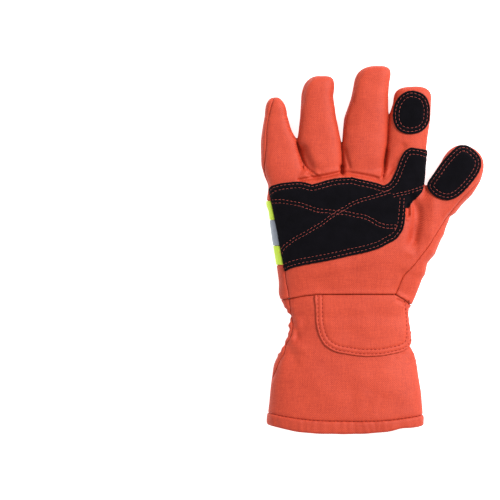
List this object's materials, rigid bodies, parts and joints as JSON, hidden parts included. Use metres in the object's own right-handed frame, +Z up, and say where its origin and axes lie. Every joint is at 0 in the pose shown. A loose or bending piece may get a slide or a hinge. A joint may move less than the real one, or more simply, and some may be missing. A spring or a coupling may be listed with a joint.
{
  "type": "firefighter glove",
  "caption": "Right-hand firefighter glove lying palm up: padded aramid cloth, suede palm and fingertip patches, gathered wrist, flared hemmed cuff, reflective tape on the back",
  "frame": {"origin": "middle of the glove's underside, on the surface that it lies on", "axes": "+Y from the cuff to the fingertips, +X to the thumb side, +Z up through the palm, which faces up"},
  "size_m": [0.1732, 0.2856, 0.0318],
  "materials": {
    "palm_panel": "woven aramid cloth, bright orange-red, matte",
    "back_panel": "woven aramid cloth, bright orange-red, matte",
    "cuff_palm_panel": "woven aramid cloth, bright orange-red, matte",
    "cuff_back_panel": "woven aramid cloth, bright orange-red, matte",
    "cuff_hem": "woven aramid cloth, bright orange-red, matte",
    "wrist_patch": "woven aramid cloth, bright orange-red, matte",
    "palm_patch": "black split suede, matte, with tonal rose stitch rows",
    "index_tip_patch": "black split suede, matte, with tonal rose stitch rows",
    "thumb_tip_patch": "black split suede, matte, with tonal rose stitch rows",
    "reflective_tape": "silver retroreflective tape with a fine lattice",
    "hi_vis_band_upper": "fluorescent yellow tape with a fine lattice",
    "hi_vis_band_lower": "fluorescent yellow tape with a fine lattice"
  },
  "bodies": {
    "root": {"palm_panel": "palm_panel", "back_panel": "back_panel", "cuff_palm_panel": "cuff_palm_panel", "cuff_back_panel": "cuff_back_panel", "cuff_hem": "cuff_hem", "wrist_patch": "wrist_patch", "palm_patch": "palm_patch", "index_tip_patch": "index_tip_patch", "thumb_tip_patch": "thumb_tip_patch", "reflective_tape": "reflective_tape", "hi_vis_band_upper": "hi_vis_band_upper", "hi_vis_band_lower": "hi_vis_band_lower"}
  },
  "joints": []
}
